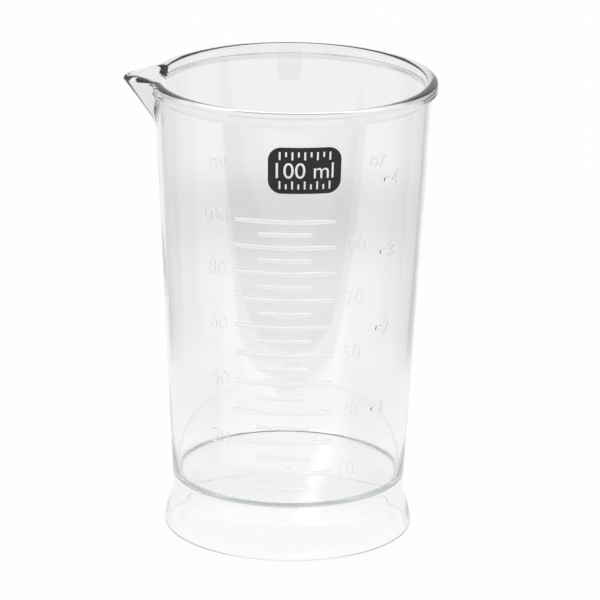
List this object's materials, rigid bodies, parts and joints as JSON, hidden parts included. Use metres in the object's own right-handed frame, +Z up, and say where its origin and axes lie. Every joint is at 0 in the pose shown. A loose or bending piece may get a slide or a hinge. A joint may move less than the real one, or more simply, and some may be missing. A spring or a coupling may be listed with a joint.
{
  "type": "measuring cup",
  "caption": "Clear moulded measuring cup with a V-shaped pour spout, a beaded lip, a raised volume scale and a hollow flared foot.",
  "frame": {"origin": "on the table plane under the foot, at the middle of the bounding box of cup and spout", "axes": "+Z up and out of the mouth, the spout points to -X, the volume scale faces -Y"},
  "size_m": [0.0612, 0.0562, 0.0912],
  "materials": {
    "clear_plastic": "polished, water-clear",
    "black_ink": "printed, satin"
  },
  "bodies": {
    "root": {"cup": "clear_plastic", "printed_badge": "black_ink"}
  },
  "joints": []
}
